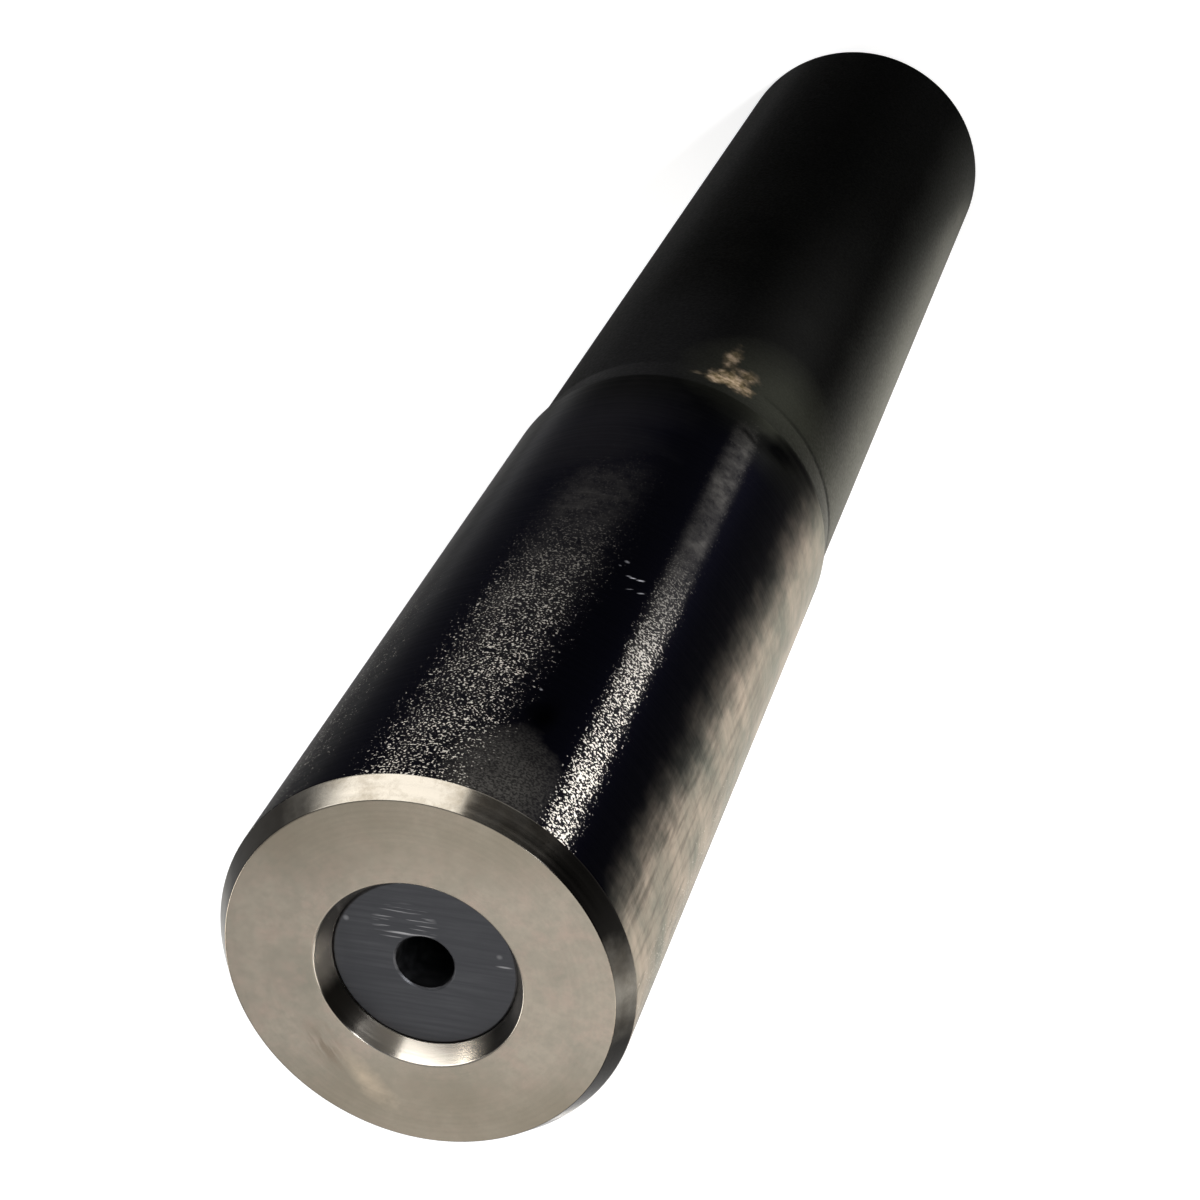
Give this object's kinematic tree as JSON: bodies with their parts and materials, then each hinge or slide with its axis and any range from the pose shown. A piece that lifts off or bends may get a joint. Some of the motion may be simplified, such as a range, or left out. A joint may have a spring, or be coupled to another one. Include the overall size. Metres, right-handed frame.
{
  "type": "modular tool extension",
  "caption": "Straight blackened steel tool extension: ground shank with a bright chamfered end and coolant plug, slimmer neck, screw-in coupling for a tool head.",
  "frame": {"origin": "centre of the coupling's contact face, on which the extension stands", "axes": "+Z along the axis from the contact face to the shank end; +X and +Y are free, because the part is round"},
  "size_m": [0.02, 0.02, 0.116],
  "materials": {
    "blackened_steel": "ground and blackened; end face, end chamfer and cone turned bright",
    "dark_plug_steel": "turned, dark blue-grey"
  },
  "bodies": {
    "root": {"extension_body": "blackened_steel", "coolant_plug": "dark_plug_steel"}
  },
  "joints": []
}
